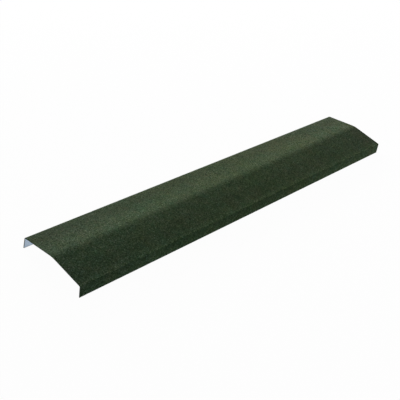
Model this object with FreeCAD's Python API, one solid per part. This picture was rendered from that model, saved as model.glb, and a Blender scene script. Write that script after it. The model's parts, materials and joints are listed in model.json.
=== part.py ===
"""Roof ridge cap of stone-coated steel: one sheet folded along its length, laid over a ridge.

Two wings slope down from a softly rounded crown. Each wing ends in a sharp fold and a short
lip that drops to the roof and leans a little outwards. The blank is sheared before it is
folded, so the ends and the lips' feet are square to the sheet.

Frame: X runs along the ridge, Y across it, Z up. The origin is at the middle of the length
and width, on the level that the feet stand on. Lengths are in millimetres, angles in degrees.
"""

import FreeCAD
import Part
import math
import os
from FreeCAD import Vector

# Weather side, between the sharp corners of its section
length = 1250.0
fold_span = 206.0
wing_pitch = 7.8
lip_height = 31.4
lip_splay = 3.8

# Sheet: the steel and the stone-granule coat that is bonded to it
steel_thickness = 0.45
coat_thickness = 1.30
sheet_thickness = steel_thickness + coat_thickness

# Bends, measured on the roof side of the sheet
ridge_bend_radius = 75.0
fold_bend_radius = 1.6


def weather_corners():
    """Sharp corners of the weather side, from the -Y foot over the ridge to the +Y foot."""
    half_span = fold_span / 2
    ridge_height = lip_height + half_span * math.tan(math.radians(wing_pitch))
    foot_offset = half_span + lip_height * math.tan(math.radians(lip_splay))
    return [
        Vector(0, -foot_offset, 0),
        Vector(0, -half_span, lip_height),
        Vector(0, 0, ridge_height),
        Vector(0, half_span, lip_height),
        Vector(0, foot_offset, 0),
    ]


def roof_corners(corners, thickness):
    """The same corners one thickness inside. Each foot stays square to its own lip."""
    normals = []
    for start, end in zip(corners, corners[1:]):
        along = (end - start).normalize()
        normals.append(Vector(0, along.z, -along.y))

    inner = [corners[0] + normals[0] * thickness]
    for corner, before, after in zip(corners[1:-1], normals, normals[1:]):
        bisector = (before + after).normalize()
        inner.append(corner + bisector * (thickness / bisector.dot(before)))
    inner.append(corners[-1] + normals[-1] * thickness)
    return inner


def tangent_arc(before, corner, after, radius):
    """Start, middle and end of the arc that rounds a corner between two straight runs."""
    to_before = (before - corner).normalize()
    to_after = (after - corner).normalize()
    half_angle = to_before.getAngle(to_after) / 2
    bisector = (to_before + to_after).normalize()
    reach = radius / math.tan(half_angle)
    nearest = radius / math.sin(half_angle) - radius
    return corner + to_before * reach, corner + bisector * nearest, corner + to_after * reach


def bent_line(corners, radii):
    """Edges of a line through the corners, with each inner corner rounded to its radius."""
    edges = []
    run_start = corners[0]
    for before, corner, after, radius in zip(corners, corners[1:], corners[2:], radii):
        arc_start, arc_middle, arc_end = tangent_arc(before, corner, after, radius)
        edges.append(Part.LineSegment(run_start, arc_start).toShape())
        edges.append(Part.Arc(arc_start, arc_middle, arc_end).toShape())
        run_start = arc_end
    edges.append(Part.LineSegment(run_start, corners[-1]).toShape())
    return edges


def sheet_section():
    """Closed section of the folded sheet, on the plane X = 0."""
    weather = weather_corners()
    roof = roof_corners(weather, sheet_thickness)
    roof_radii = [fold_bend_radius, ridge_bend_radius, fold_bend_radius]
    weather_radii = [radius + sheet_thickness for radius in roof_radii]
    feet = [Part.LineSegment(weather[end], roof[end]).toShape() for end in (0, -1)]
    loop = bent_line(weather, weather_radii) + bent_line(roof, roof_radii) + feet
    return Part.Face(Part.Wire(Part.__sortEdges__(loop)))


def ridge_cap():
    """The section drawn out along the ridge, with its feet set down on Z = 0."""
    section = sheet_section()
    section.translate(Vector(-length / 2, 0, -section.BoundBox.ZMin))
    return section.extrude(Vector(length, 0, 0))


def report_size(name, solid):
    """Prints the solid's state, box and volume."""
    box = solid.BoundBox
    print(name, "valid" if solid.isValid() else "NOT VALID", "solids", len(solid.Solids))
    print("  box %.2f x %.2f x %.2f mm" % (box.XLength, box.YLength, box.ZLength))
    print("  Z from %.3f to %.3f mm, volume %.1f cm3" % (box.ZMin, box.ZMax, solid.Volume / 1000))


os.makedirs("parts", exist_ok=True)
for name, solid in {"ridge_cap": ridge_cap()}.items():
    report_size(name, solid)
    solid.exportStep("parts/%s.step" % name)
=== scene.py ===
"""Looks of the stone-coated roof ridge cap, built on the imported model.

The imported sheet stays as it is: it shows its bare steel on the roof side and along the cut
edges. Over its weather side lies the granule coat: four closed strips of faceted stone chips
that meet at the crown and at the folds. Lengths are in metres.
"""

import bpy
import json
import math
import numpy as np
from mathutils import Matrix, Vector


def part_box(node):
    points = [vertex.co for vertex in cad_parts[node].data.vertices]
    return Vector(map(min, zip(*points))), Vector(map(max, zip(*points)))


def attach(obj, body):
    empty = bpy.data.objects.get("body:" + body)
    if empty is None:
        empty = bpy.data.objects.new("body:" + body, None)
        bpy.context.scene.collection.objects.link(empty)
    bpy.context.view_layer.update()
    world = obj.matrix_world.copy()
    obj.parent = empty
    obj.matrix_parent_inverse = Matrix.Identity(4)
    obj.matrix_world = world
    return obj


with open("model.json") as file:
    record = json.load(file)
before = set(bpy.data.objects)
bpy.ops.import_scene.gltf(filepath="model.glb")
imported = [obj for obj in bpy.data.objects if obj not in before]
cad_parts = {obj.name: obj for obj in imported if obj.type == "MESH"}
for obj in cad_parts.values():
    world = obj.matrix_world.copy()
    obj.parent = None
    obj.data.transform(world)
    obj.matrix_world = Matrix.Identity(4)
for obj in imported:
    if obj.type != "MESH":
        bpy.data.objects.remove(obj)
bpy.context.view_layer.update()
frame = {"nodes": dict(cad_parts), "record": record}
sheet = frame["nodes"]["ridge_cap"]
box_low, box_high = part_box("ridge_cap")

MM = 0.001
SEED = 41

# Bends of the sheet on its roof side, as in the part's source
ridge_bend_radius = 75.0 * MM
fold_bend_radius = 1.6 * MM

# Facets and stone chips of the coat. Jitters are shares of the pitch
facet_pitch = 1.25 * MM
facet_jitter = 0.27
chip_pitch = 2.1 * MM
chip_jitter = 0.34
chip_low, chip_high = 0.18 * MM, 0.33 * MM
chip_tilt = 0.095
joint_depth = 0.15 * MM
joint_width = 0.55 * MM
grain_size = 0.9 * MM

# Lowest and highest relief. The floor is higher round the folds, to keep flat facets clear of the bend
relief_floor, fold_floor = 0.03 * MM, 0.09 * MM
fold_reach = 4 * MM
relief_top = 0.44 * MM

# Share of the coat's columns between a foot and the middle of its fold
fold_share = 0.1185

# Underside of a strip, in millimetres: how deep below the face, and how far in from an open edge
underside_depth, underside_inset = 1.28, 1.20

# Steps down an edge, in millimetres: how far past the edge, and how deep below the face
end_edge = [(0.05, 0.30), (0.09, 0.75), (0.05, 1.24), (-underside_inset, underside_depth)]
foot_edge = [(0.015, 0.25), (0.005, 0.75), (0.0, 1.16), (-underside_inset, underside_depth)]
# A strip's border with the next strip goes straight down
hidden_edge = [(0.0, underside_depth)]
# Most that a step sticks out further at random
ragged_end, ragged_foot = 0.07 * MM, 0.01 * MM
# Least rise between the places along a border, so that no two of its corners meet
border_gap = 0.25 * MM

# Painted light and shade across the wings: lightest just behind the crown, darkest in the middle of each
# wing. Millimetres from the crown, front to back, and share of the full tone. The stops were fitted to the
# photograph's light level across the wings, then thinned and rounded
wing_reach = 100
painted_wing_light = [
    (-98, 0.78),
    (-82, 0.65),
    (-52, 0.65),
    (-34, 0.80),
    (-10, 0.76),
    (8, 0.95),
    (25, 1.00),
    (40, 0.93),
    (56, 0.80),
    (74, 0.67),
    (96, 0.70),
]
# Tints of the painted light: a whitish painted sheen on the back wing, a darker, bluer painted shade on the
# front wing
front_shade_tint, back_sheen_tint = (0.95, 0.93, 1.02, 1), (1.06, 0.97, 1.03, 1)
# Places in the noise of the soft patches
patch_seed, hue_seed = 8.5, 22.1

# Floor, and even light from all round
floor_reach = 14.0
floor_drop = 0.1 * MM
floor_grey = 0.86
floor_white = 0.97
ambient = 0.30

# Lamps: azimuth and elevation in degrees, and watts, fitted to the photograph's light levels
lamps = {
    "key": (170, 12, 173),
    "side": (130, 12, 63),
    "fill": (60, 20, 40),
    "front": (0, 20, 11),
}
lamp_distance = 4.0
lamp_size = (2.0, 1.4)
lamp_aim = (0, 0, 0.03)

# Camera, fitted to the photograph's outline
camera_place = (-1.4956, -1.0273, 1.1501)
camera_azimuth = -53.07
camera_elevation = 33.475
camera_roll = 12.53
camera_lens = 68.02
camera_sensor = 36.0
camera_near, camera_far = 0.05, 60.0


# Section of the sheet

def packed_face(name):
    """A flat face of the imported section: a point on it and its outward normal, in Y and Z."""
    mount = next(m for m in frame["record"]["mounts"] if m["name"] == name)
    return np.array(mount["pos_m"][1:]), np.array(mount["axis"][1:])


def crossing(face_a, face_b):
    """The corner where two faces of the section meet."""
    normals = np.array([face_a[1], face_b[1]])
    return np.linalg.solve(normals, [face_a[0] @ face_a[1], face_b[0] @ face_b[1]])


def bend(before, corner, after, radius, steps=24):
    """Points round the arc between two straight runs, with their travel angles."""
    angle_in = math.atan2(*(corner - before)[::-1])
    angle_out = math.atan2(*(after - corner)[::-1])
    reach = radius * math.tan(abs(angle_out - angle_in) / 2)
    start = corner - reach * np.array([math.cos(angle_in), math.sin(angle_in)])
    centre = start + radius * np.array([math.sin(angle_in), -math.cos(angle_in)])
    angles = np.linspace(angle_in, angle_out, steps)
    return centre + radius * np.stack([-np.sin(angles), np.cos(angles)], 1), angles


def weather_path():
    """Arc length, places and travel angles of the weather side, front foot to back foot."""
    wing, lip = packed_face("back_lap_face"), packed_face("back_nail_face")
    side = (np.array([box_high[1], 0.0]), np.array([1.0, 0.0]))
    middle = (np.zeros(2), np.array([1.0, 0.0]))
    ridge, fold, foot = crossing(wing, middle), crossing(wing, lip), crossing(lip, side)
    mirror = np.array([-1.0, 1.0])
    corners = [foot * mirror, fold * mirror, ridge, fold, foot]
    radii = [fold_bend_radius, ridge_bend_radius, fold_bend_radius]
    places, angles = [corners[0][None]], [[math.atan2(*(corners[1] - corners[0])[::-1])]]
    for before, corner, after, radius in zip(corners, corners[1:], corners[2:], radii):
        arc, turn = bend(before, corner, after, radius + sheet_thickness)
        places.append(arc)
        angles.append(turn)
    places.append(corners[-1][None])
    angles.append([math.atan2(*(corners[-1] - corners[-2])[::-1])])
    places, angles = np.concatenate(places), np.concatenate(angles)
    run = np.concatenate([[0], np.cumsum(np.hypot(*np.diff(places, axis=0).T))])
    return run, places, angles


def fold_middle():
    """Arc length from the front foot to where the front fold has turned to 45 degrees."""
    run, _, angles = section
    return float(np.interp(math.radians(-45), -angles, run))


def on_section(s, height):
    """Y and Z at arc length s, raised off the weather side. Past a foot it runs straight on."""
    run, places, angles = section
    inside = np.clip(s, 0, run[-1])
    angle = np.interp(inside, run, angles)
    beyond = s - inside
    y = np.interp(inside, run, places[:, 0]) + beyond * np.cos(angle) - height * np.sin(angle)
    z = np.interp(inside, run, places[:, 1]) + beyond * np.sin(angle) + height * np.cos(angle)
    return y, z


outer_lip, inner_lip = packed_face("back_nail_face"), packed_face("back_lip_seat")
sheet_thickness = float((outer_lip[0] - inner_lip[0]) @ outer_lip[1])
section = weather_path()
girth = section[0][-1]
fold_run = fold_middle()
length = box_high[0] - box_low[0]


# Granule coat

class Chips:
    """Stone chips laid over the unrolled coat, each a tilted facet with a sunken joint round it."""

    # In cells: how many more there are than fit, how many lie before the first border, and odd rows' shift
    spare, margin, stagger = 4, 1.5, 0.5

    def __init__(self, rng):
        self.across = int(girth / chip_pitch) + self.spare
        self.along = int(length / chip_pitch) + self.spare
        shape = (self.across, self.along)
        cells = np.stack(np.indices(shape), -1).astype(float)
        cells[..., 1] += self.stagger * (cells[..., 0] % 2)
        shake = rng.uniform(-chip_jitter, chip_jitter, (*shape, 2))
        self.centres = (cells - self.margin + shake) * chip_pitch
        self.top = rng.uniform(chip_low, chip_high, shape)
        self.tilt = rng.normal(0, chip_tilt, (*shape, 2))
        self.tint = rng.random((*shape, 3))

    def nearest(self, s, x):
        """Index of the chip under each point, the offset from its middle and the room to its edge."""
        point = np.stack([s, x + length / 2], -1)
        row = np.clip(np.rint(s / chip_pitch + self.margin).astype(int), 1, self.across - 2)
        lane = np.rint(point[..., 1] / chip_pitch + self.margin - self.stagger / 2).astype(int)
        lane = np.clip(lane, 1, self.along - 2)
        best = np.full(s.shape, np.inf)
        second = best.copy()
        found = np.zeros((*s.shape, 2), int)
        for step_row in (-1, 0, 1):
            for step_lane in (-1, 0, 1):
                at = (row + step_row, lane + step_lane)
                away = np.linalg.norm(point - self.centres[at], axis=-1)
                nearer = away < best
                second = np.where(nearer, best, np.minimum(second, away))
                best = np.where(nearer, away, best)
                found[nearer] = np.stack(at, -1)[nearer]
        chip = (found[..., 0], found[..., 1])
        return chip, point - self.centres[chip], second - best

    def height(self, s, x):
        """How far the coat stands off the sheet's nominal face."""
        chip, offset, room = self.nearest(s, x)
        facet = self.top[chip] + (self.tilt[chip] * offset).sum(-1)
        joint = joint_depth * np.clip(1 - room / joint_width, 0, 1)
        from_fold = np.minimum(abs(s - fold_run), abs(s - (girth - fold_run)))
        floor = np.where(from_fold < fold_reach, fold_floor, relief_floor)
        return np.clip(facet - joint, floor, relief_top)


def lattice(rng):
    """Arc lengths and X places of the facets' corners: a triangular lattice, shaken a little.

    Its columns are odd in number, so that the middle one runs along the crown.
    """
    columns = round(girth / (facet_pitch * math.sqrt(0.75))) | 1
    rows = round(length / facet_pitch)
    across, along = np.linspace(0, girth, columns), np.linspace(-0.5, 0.5, rows) * length
    s, x = np.meshgrid(across, along, indexing="ij")
    shake_s, shake_x = rng.uniform(-facet_jitter, facet_jitter, (2, columns, rows)) * facet_pitch
    loose_x = np.ones((columns, rows))
    loose_x[:, [0, -1]] = 0
    loose_s = loose_x.copy()
    loose_s[[0, -1]] = 0
    s = s + shake_s * loose_s
    x = x + (shake_x + 0.5 * facet_pitch * (np.arange(columns) % 2)[:, None]) * loose_x
    return s, np.clip(x, -length / 2, length / 2)


def in_order(places, gap):
    """Moves the outer places of a line inward where they turn back, so that all rise by the gap or more."""
    steps = gap * np.arange(len(places))
    rising = np.maximum.accumulate(places - steps) + steps
    falling = (np.minimum.accumulate(places[::-1] + steps) - steps)[::-1]
    return np.where(steps < steps[-1] / 2, rising, falling)


def coat_strip(name, first, last, rng):
    """Makes one strip of the coat, from lattice column first to last, as a closed mesh."""
    s, x = lattice_s[first : last + 1], lattice_x[first : last + 1]
    height = chips.height(s, x)
    near_side = foot_edge if first == 0 else hidden_edge
    far_side = foot_edge if last == len(lattice_s) - 1 else hidden_edge
    pads = (len(near_side), len(far_side)), (len(end_edge), len(end_edge))
    s, x, height = (np.pad(values, pads, mode="edge") for values in (s, x, height))
    depth = np.full(s.shape, -np.inf)

    def step_down(steps, axis, at_end, places, sign, ragged_edge):
        """Puts the steps of one edge outside the lattice, each deeper than the last."""
        for step, (past, down) in enumerate(steps):
            index = pads[axis][0] - 1 - step if not at_end else -pads[axis][1] + step
            cut = [slice(None), slice(None)]
            cut[axis] = index
            cut = tuple(cut)
            ragged = rng.uniform(0, ragged_edge, places[cut].shape) * (past > 0)
            places[cut] += sign * (past * MM + ragged)
            depth[cut] = np.maximum(depth[cut], down * MM)

    step_down(near_side, 0, False, s, -1, ragged_foot)
    step_down(far_side, 0, True, s, 1, ragged_foot)
    step_down(end_edge, 1, False, x, -1, ragged_end)
    step_down(end_edge, 1, True, x, 1, ragged_end)
    for border in (0, -1):
        s[border] = s[border].mean()
        s[:, border] = in_order(s[:, border], border_gap)
        x[border] = in_order(x[border], border_gap)
    y, z = on_section(s, np.where(depth > 0, -depth, height))
    vertices = np.stack([x, y, z], -1).reshape(-1, 3)
    faces, lanes = strip_faces(*s.shape, first - len(near_side))
    mesh = bpy.data.meshes.new(name)
    mesh.from_pydata(vertices, [], faces)
    paint_chips(mesh, s, x, faces)
    unroll(mesh, s, x, depth, lanes)
    mesh.validate()
    strip = bpy.data.objects.new(name, mesh)
    bpy.context.scene.collection.objects.link(strip)
    strip.data.materials.append(materials["granules"])
    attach(strip, "root")


def side_faces(start, end, outer):
    """Triangles between a strip's long border and the two ends of the line beside it."""
    middle = len(outer) // 2
    fans = [[start if k < middle else end, outer[k + 1], outer[k]] for k in range(len(outer) - 1)]
    return fans + [[start, end, outer[middle]]]


def strip_faces(columns, rows, start):
    """Triangles over the grid, and the long faces that close it underneath.

    The grid's first column is the lattice's column start. Lanes give each triangle's row.
    """
    index = np.arange(columns * rows).reshape(columns, rows)
    a, b = index[:-1, :-1], index[1:, :-1]
    a_next, b_next = index[:-1, 1:], index[1:, 1:]
    even = np.repeat(((np.arange(columns - 1) + start) % 2 == 0)[:, None], rows - 1, axis=1)
    # At the four corners the cut goes through the corner, so that no face below doubles one above
    even[0, 0] = even[-1, -1] = False
    even[0, -1] = even[-1, 0] = True
    even = even[..., None]
    lower = np.where(even, np.stack([a, a_next, b], -1), np.stack([a, b_next, b], -1))
    upper = np.where(even, np.stack([b, a_next, b_next], -1), np.stack([a, a_next, b_next], -1))
    top = np.stack([lower, upper], 2)
    lanes = np.broadcast_to(np.arange(rows - 1)[None, :, None], top.shape[:3]).ravel()
    under = [[index[c, 0], index[c + 1, 0], index[c + 1, -1], index[c, -1]] for c in range(1, columns - 2)]
    under += side_faces(index[1, 0], index[1, -1], index[0])
    under += side_faces(index[-2, -1], index[-2, 0], index[-1, ::-1])
    return top.reshape(-1, 3).tolist() + under, lanes


def paint_chips(mesh, s, x, faces):
    """Gives each facet the three random numbers of the chip that it belongs to."""
    flat_s, flat_x = s.ravel(), x.ravel()
    corners = np.array([face[:3] for face in faces])
    chip = chips.nearest(flat_s[corners].mean(1), flat_x[corners].mean(1))[0]
    tint = np.ones((len(faces), 4))
    tint[:, :3] = chips.tint[chip]
    colours = mesh.attributes.new("chip", "FLOAT_COLOR", "FACE")
    colours.data.foreach_set("color", tint.ravel())


def unroll(mesh, s, x, depth, lanes):
    """Lays the strip out flat in a few lanes side by side, so that a map holds its chips evenly.

    The long faces underneath share a narrow band along the map's right edge.
    """
    margin, skirt = 4 * MM, 1.5 * MM
    band_start, band_width = 0.99, 0.005
    band_foot, band_length = 0.01, 0.95
    wide = np.ptp(s) + margin
    count = max(1, round(math.sqrt(length / wide)))
    span = max(count * wide, length / count + 2 * margin)
    rows = s.shape[1]
    down = np.where(depth > 0, depth, 0)
    u = s - s.min() + skirt + np.where(s < s.mean(), -1, 1) * down
    v = x - x.min()
    lane_of_face = np.minimum(lanes * count // (rows - 1), count - 1)
    starts = np.array([v[:, lane * (rows - 1) // count].min() for lane in range(count)])
    corner_face = np.repeat(np.arange(len(lanes)), 3)
    corners = np.empty(len(mesh.loops), np.int32)
    mesh.loops.foreach_get("vertex_index", corners)
    places = np.zeros((len(corners), 2))
    shown = len(corner_face)
    lane = lane_of_face[corner_face]
    places[:shown, 0] = (u.ravel()[corners[:shown]] + lane * wide) / span
    places[:shown, 1] = (v.ravel()[corners[:shown]] - starts[lane] + margin) / span
    places[shown:, 0] = band_start + band_width * u.ravel()[corners[shown:]] / wide
    places[shown:, 1] = band_foot + band_length * v.ravel()[corners[shown:]] / length
    layer = mesh.uv_layers.new(name="OFBake")
    layer.data.foreach_set("uv", places.ravel())


# Materials

class Nodes:
    """A short way to write a node tree."""

    def __init__(self, name):
        self.material = bpy.data.materials.new(name)
        self.material.use_nodes = True
        self.tree = self.material.node_tree
        self.tree.nodes.clear()
        self.output = self.tree.nodes.new("ShaderNodeOutputMaterial")

    def add(self, kind, inputs=None, **settings):
        node = self.tree.nodes.new("ShaderNode" + kind)
        for key, value in settings.items():
            setattr(node, key, value)
        for key, value in (inputs or {}).items():
            self.set(node, key, value)
        return node

    def set(self, node, key, value):
        socket = node.inputs[key]
        if isinstance(value, bpy.types.NodeSocket):
            self.tree.links.new(value, socket)
        else:
            socket.default_value = value

    def math(self, operation, *values):
        node = self.add("Math", operation=operation)
        for index, value in enumerate(values):
            self.set(node, index, value)
        return node.outputs[0]

    def ramp(self, factor, stops):
        node = self.add("ValToRGB", {"Fac": factor})
        elements = node.color_ramp.elements
        while len(elements) < len(stops):
            elements.new(1.0)
        for element, (place, colour) in zip(elements, stops):
            element.position = place
            element.color = (*colour, 1)
        return node.outputs["Color"]

    def tones(self, factor, stops):
        """A ramp of greys."""
        return self.ramp(factor, [(place, (tone, tone, tone)) for place, tone in stops])

    def mix(self, factor, a, b, blend="MIX"):
        node = self.add("Mix", data_type="RGBA", blend_type=blend)
        self.set(node, 0, factor)
        self.set(node, 6, a)
        self.set(node, 7, b)
        return node.outputs[2]

    def times(self, colour, share):
        """A colour multiplied by a share or by another colour."""
        return self.mix(1.0, colour, share, "MULTIPLY")

    def span(self, value, low, high, to_low=0.0, to_high=1.0):
        """Maps low..high to to_low..to_high and clamps."""
        node = self.add("MapRange", clamp=True)
        for key, number in (("Value", value), ("From Min", low), ("From Max", high),
                            ("To Min", to_low), ("To Max", to_high)):
            self.set(node, key, number)
        return node.outputs["Result"]

    def finish(self, shader):
        self.tree.links.new(shader, self.output.inputs["Surface"])
        return self.material


def stone_colour(n, place, chip_parts, grain_parts, grain_edge):
    """Colour of each stone grain: dark greens with some olive and grey, darker in the joints."""
    species = n.math("ADD", n.math("MULTIPLY", grain_parts.outputs[0], 0.35),
                     n.math("MULTIPLY", chip_parts.outputs[0], 0.65))
    stone = n.ramp(species, [
        (0.05, (0.009, 0.019, 0.004)),
        (0.22, (0.029, 0.058, 0.019)),
        (0.40, (0.046, 0.096, 0.041)),
        (0.52, (0.071, 0.101, 0.036)),
        (0.66, (0.083, 0.140, 0.070)),
        (0.80, (0.123, 0.166, 0.079)),
        (0.95, (0.191, 0.244, 0.163)),
    ])
    value = n.span(grain_parts.outputs[1], 0, 1, 0.80, 1.20)
    clumps = n.add("TexNoise", {"Vector": place, "Scale": 170.0, "Detail": 2.0, "Roughness": 0.6})
    clump = n.span(clumps.outputs["Fac"], 0.3, 0.7, 0.80, 1.20)
    joint = n.span(grain_edge, 0.35, 0.75, 1.0, 0.6)
    for share in (value, clump, joint):
        stone = n.times(stone, share)
    return stone


def soft_noise(n, place, seed, scale, detail, roughness):
    """Cloudy noise over the coat. Another seed puts its patches elsewhere."""
    values = {"Vector": place, "W": seed, "Scale": scale, "Detail": detail, "Roughness": roughness}
    return n.add("TexNoise", values, noise_dimensions="4D")


def blotches(n, place, stone):
    """Soft patches, hand-sized and less, where the mix of stones is lighter, redder or bluer."""
    patches = soft_noise(n, place, patch_seed, 14.0, 3.0, 0.8)
    stone = n.times(stone, n.span(patches.outputs["Fac"], 0.3, 0.7, 0.91, 1.09))
    hues = soft_noise(n, place, hue_seed, 13.0, 4.0, 1.0)
    hue_parts = n.add("SeparateColor", {"Color": hues.outputs["Color"]})
    shifts = n.add("CombineColor", {
        "Red": n.span(hue_parts.outputs[0], 0.3, 0.7, 0.78, 1.22),
        "Green": 1.0,
        "Blue": n.span(hue_parts.outputs[2], 0.3, 0.7, 0.85, 1.15),
    })
    return n.times(stone, shifts.outputs[0])


def coat_tones_and_painted_light(n, place, stone):
    """Painted light and shade over the coat: across the wings and down the lips, a painted highlight on the
    folds, a painted sheen along the back wing and a painted highlight at the crown's near end; also tints
    and tones that drift along the length.
    """
    parts = n.add("SeparateXYZ", {"Vector": place})
    from_crown = n.math("ABSOLUTE", parts.outputs["Y"])
    wing_share = n.span(parts.outputs["Z"], 30.3 * MM, 31.2 * MM)
    back_share = n.span(parts.outputs["Y"], -10 * MM, 10 * MM)
    lengthwise = n.span(parts.outputs["X"], -600 * MM, 600 * MM)

    # Painted light and shade across the wings, with a painted sheen tint on the back wing
    across = n.span(parts.outputs["Y"], -wing_reach * MM, wing_reach * MM)
    wing_with_painted_light = n.tones(across, [((y + wing_reach) / (2 * wing_reach), tone) for y, tone in painted_wing_light])
    wing_with_painted_light = n.times(wing_with_painted_light, n.mix(back_share, front_shade_tint, back_sheen_tint))
    # Painted light down each lip: lighter and bluer at the foot, as light bounced off the pale floor makes
    # it, darker towards the top
    up_lip = n.span(parts.outputs["Z"], 2 * MM, 28 * MM)
    lip_with_painted_light = n.ramp(up_lip, [(0.0, (0.86, 0.89, 0.98)), (1.0, (0.58, 0.62, 0.70))])
    lip_along = n.tones(lengthwise, [(0.03, 0.83), (0.20, 0.92), (0.46, 0.79), (0.70, 0.91), (0.97, 1.0)])
    lip_with_painted_light = n.times(lip_with_painted_light, lip_along)
    tone = n.mix(wing_share, lip_with_painted_light, wing_with_painted_light)
    # Painted highlight: a band 20% lighter along the folds
    at_fold = n.math("MULTIPLY", n.span(from_crown, 96 * MM, 100 * MM), wing_share)
    fold_highlight = n.span(at_fold, 0, 1, 1.0, 1.20)
    along = n.ramp(lengthwise, [
        (0.0, (0.90, 0.96, 1.0)),
        (0.3, (0.93, 0.97, 0.92)),
        (0.6, (0.95, 0.96, 0.85)),
        (1.0, (1.0, 0.95, 0.98)),
    ])
    for share in (tone, fold_highlight, along):
        stone = n.times(stone, share)

    # Painted sheen: the back wing lighter towards the far end
    back_sheen_along = n.times(stone, n.span(lengthwise, 0, 1, 0.97, 1.06))
    stone = n.mix(n.math("MULTIPLY", back_share, wing_share), stone, back_sheen_along)
    # Painted highlight near the crown at the near end: both sides of the crown darken towards the far end
    near_crown = n.math("MULTIPLY", n.span(from_crown, 35 * MM, 75 * MM, 1.0, 0.0), wing_share)
    crown_highlight_fade = n.tones(lengthwise, [(0.18, 1.0), (0.34, 0.91), (1.0, 0.87)])
    return n.mix(near_crown, stone, n.times(stone, crown_highlight_fade))


def granule_material():
    """Crushed stone chips in mixed dark greens, with a little sheen from the glaze over them."""
    n = Nodes("granules")
    place = n.add("TexCoord").outputs["Object"]
    chip = n.add("Attribute", attribute_name="chip", attribute_type="GEOMETRY").outputs["Color"]
    chip_parts = n.add("SeparateColor", {"Color": chip})
    grains = n.add("TexVoronoi", {"Vector": place, "Scale": 1 / grain_size, "Randomness": 1.0})
    grain_parts = n.add("SeparateColor", {"Color": grains.outputs["Color"]})
    grain_edge = grains.outputs["Distance"]
    stone = stone_colour(n, place, chip_parts, grain_parts, grain_edge)
    stone = coat_tones_and_painted_light(n, place, blotches(n, place, stone))

    bump_height = n.math("SUBTRACT", 1.0, grain_edge)
    bump = n.add("Bump", {"Height": bump_height, "Strength": 0.4, "Distance": 0.3 * MM})
    surface = n.add("BsdfPrincipled", {
        "Base Color": stone,
        "Roughness": n.span(chip_parts.outputs[2], 0, 1, 0.70, 0.86),
        "Normal": bump.outputs["Normal"],
        "Specular IOR Level": 0.035,
    })
    return n.finish(surface.outputs["BSDF"])


def steel_material():
    """Zinc-coated steel with a faint spangle, and a matte dark green rim along its ends and foot."""
    n = Nodes("bare_steel")
    place = n.add("TexCoord").outputs["Object"]
    spangle = n.add("TexVoronoi", {"Vector": place, "Scale": 110.0, "Randomness": 1.0})
    flakes = n.add("SeparateColor", {"Color": spangle.outputs["Color"]})
    shade = n.span(flakes.outputs[0], 0, 1, 0.92, 1.06)
    steel = n.times((0.40, 0.49, 0.595, 1), shade)
    place_parts = n.add("SeparateXYZ", {"Vector": place})
    fray = n.add("TexNoise", {"Vector": place, "Scale": 260.0, "Detail": 2.0})
    reach = n.span(fray.outputs["Fac"], 0.3, 0.7, 0.4 * MM, 1.5 * MM)
    from_end = n.math("SUBTRACT", length / 2, n.math("ABSOLUTE", place_parts.outputs["X"]))
    from_edge = n.math("MINIMUM", from_end, place_parts.outputs["Z"])
    # A matte dark green rim, a millimetre or so wide, along the ends and the foot
    dark_rim = n.span(n.math("SUBTRACT", reach, from_edge), -0.3 * MM, 0.3 * MM, 0.0, 0.65)
    steel = n.mix(dark_rim, steel, (0.050, 0.068, 0.052, 1))
    rough = n.span(flakes.outputs[1], 0, 1, 0.36, 0.50)
    surface = n.add("BsdfPrincipled", {
        "Base Color": steel,
        "Roughness": n.math("MAXIMUM", rough, n.math("MULTIPLY", dark_rim, 0.7)),
        "Metallic": n.span(dark_rim, 0, 1, 0.85, 0.0),
    })
    return n.finish(surface.outputs["BSDF"])


def floor_material():
    """Pale grey that the camera, metal and glass see as nearly white."""
    n = Nodes("floor")
    rays = n.add("LightPath")
    seen = rays.outputs["Is Camera Ray"]
    for kind in ("Is Glossy Ray", "Is Transmission Ray"):
        seen = n.math("MAXIMUM", seen, rays.outputs[kind])
    lit = n.add("BsdfDiffuse", {"Color": (floor_grey, floor_grey, floor_grey, 1)})
    white = n.add("Emission", {"Color": (1, 1, 1, 1), "Strength": 1.0})
    mixed = n.add("MixShader", {"Fac": n.math("MULTIPLY", seen, floor_white)})
    n.tree.links.new(lit.outputs[0], mixed.inputs[1])
    n.tree.links.new(white.outputs[0], mixed.inputs[2])
    return n.finish(mixed.outputs[0])


# Studio

def add_floor():
    """A wide pale floor under the part."""
    corners = [(-1, -1), (1, -1), (1, 1), (-1, 1)]
    level = box_low[2] - floor_drop
    mesh = bpy.data.meshes.new("floor")
    mesh.from_pydata([(x * floor_reach, y * floor_reach, level) for x, y in corners], [], [(0, 1, 2, 3)])
    mesh.materials.append(floor_material())
    floor = bpy.data.objects.new("floor", mesh)
    bpy.context.scene.collection.objects.link(floor)


def direction(azimuth, elevation):
    """Unit vector from the part towards azimuth and elevation, in degrees."""
    turn, rise = math.radians(azimuth), math.radians(elevation)
    return Vector((math.sin(turn) * math.cos(rise), -math.cos(turn) * math.cos(rise), math.sin(rise)))


def facing(place, back):
    """Matrix of a lamp or camera at a place, with the given direction behind it."""
    return Matrix.Translation(place) @ back.to_track_quat("Z", "Y").to_matrix().to_4x4()


def add_lamp(name, azimuth, elevation, power):
    """A soft rectangular lamp that looks at the part from azimuth and elevation, in degrees."""
    back = direction(azimuth, elevation)
    lamp = bpy.data.lights.new(name, "AREA")
    lamp.shape = "RECTANGLE"
    lamp.size, lamp.size_y = lamp_size
    lamp.energy = power
    holder = bpy.data.objects.new(name, lamp)
    holder.matrix_world = facing(Vector(lamp_aim) + back * lamp_distance, back)
    bpy.context.scene.collection.objects.link(holder)


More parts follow.
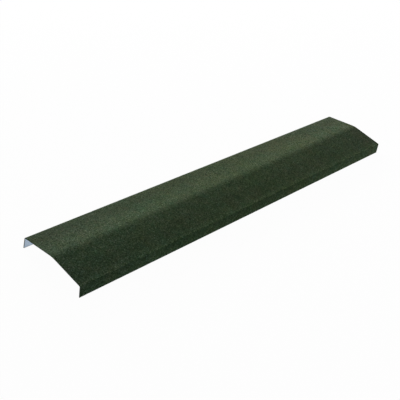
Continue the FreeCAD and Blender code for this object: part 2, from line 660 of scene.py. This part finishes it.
def add_world():
    """Even light from all round, which the camera, metal and glass see as plain white."""
    world = bpy.data.worlds.new("studio")
    world.use_nodes = True
    nodes, links = world.node_tree.nodes, world.node_tree.links
    rays = nodes.new("ShaderNodeLightPath")
    background = nodes["Background"]
    background.inputs["Color"].default_value = (1, 1, 1, 1)
    strength = nodes.new("ShaderNodeMapRange")
    strength.inputs["To Min"].default_value = ambient
    strength.inputs["To Max"].default_value = 1.0
    seen = rays.outputs["Is Camera Ray"]
    for kind in ("Is Glossy Ray", "Is Transmission Ray"):
        either = nodes.new("ShaderNodeMath")
        either.operation = "MAXIMUM"
        links.new(seen, either.inputs[0])
        links.new(rays.outputs[kind], either.inputs[1])
        seen = either.outputs[0]
    links.new(seen, strength.inputs["Value"])
    links.new(strength.outputs["Result"], background.inputs["Strength"])
    bpy.context.scene.world = world


def add_camera():
    """The camera at the photograph's viewpoint."""
    lens = bpy.data.cameras.new("camera")
    lens.lens = camera_lens
    lens.sensor_width = camera_sensor
    lens.clip_start, lens.clip_end = camera_near, camera_far
    camera = bpy.data.objects.new("camera", lens)
    roll = Matrix.Rotation(math.radians(camera_roll), 4, "Z")
    camera.matrix_world = facing(camera_place, direction(camera_azimuth, camera_elevation)) @ roll
    bpy.context.scene.collection.objects.link(camera)
    bpy.context.scene.camera = camera


materials = {"granules": granule_material(), "steel": steel_material()}
sheet.data.materials.clear()
sheet.data.materials.append(materials["steel"])

rng = np.random.default_rng(SEED)
chips = Chips(rng)
lattice_s, lattice_x = lattice(rng)
columns = len(lattice_s)
fold_column = round(columns * fold_share)
crown_column = columns // 2
borders = [0, fold_column, crown_column, columns - 1 - fold_column, columns - 1]
names = ["coat_front_lip", "coat_front_wing", "coat_back_wing", "coat_back_lip"]
for name, first, last in zip(names, borders, borders[1:]):
    coat_strip(name, first, last, rng)

add_floor()
add_world()
for name, (azimuth, elevation, power) in lamps.items():
    add_lamp(name, azimuth, elevation, power)
add_camera()
bpy.context.scene.view_settings.view_transform = "Standard"
